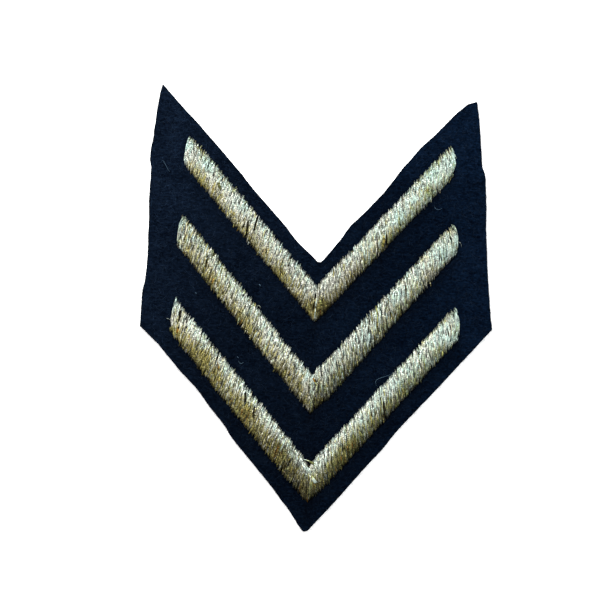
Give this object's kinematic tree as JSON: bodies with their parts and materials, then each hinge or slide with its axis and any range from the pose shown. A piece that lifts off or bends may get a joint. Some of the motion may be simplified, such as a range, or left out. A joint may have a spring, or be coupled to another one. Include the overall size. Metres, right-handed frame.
{
  "type": "chevron stripe patch",
  "caption": "Sleeve patch of dark navy felt, hand-cut to a V, with V-shaped bars of pale metallic satin stitch, points down.",
  "frame": {"origin": "middle of the bounding box in plan, on the flat underside", "axes": "+Z out of the patch's face, +Y from the bottom tip towards the notch, +X to the right as the face is seen"},
  "size_m": [0.088, 0.1098, 0.0026],
  "materials": {
    "navy_felt": "matte dark navy wool felt",
    "lower_stripe_thread": "pale silver-gold metallic thread",
    "middle_stripe_thread": "pale silver-gold metallic thread",
    "upper_stripe_thread": "pale silver-gold metallic thread"
  },
  "bodies": {
    "root": {"felt_backing": "navy_felt", "lower_stripe": "lower_stripe_thread", "middle_stripe": "middle_stripe_thread", "upper_stripe": "upper_stripe_thread"}
  },
  "joints": []
}
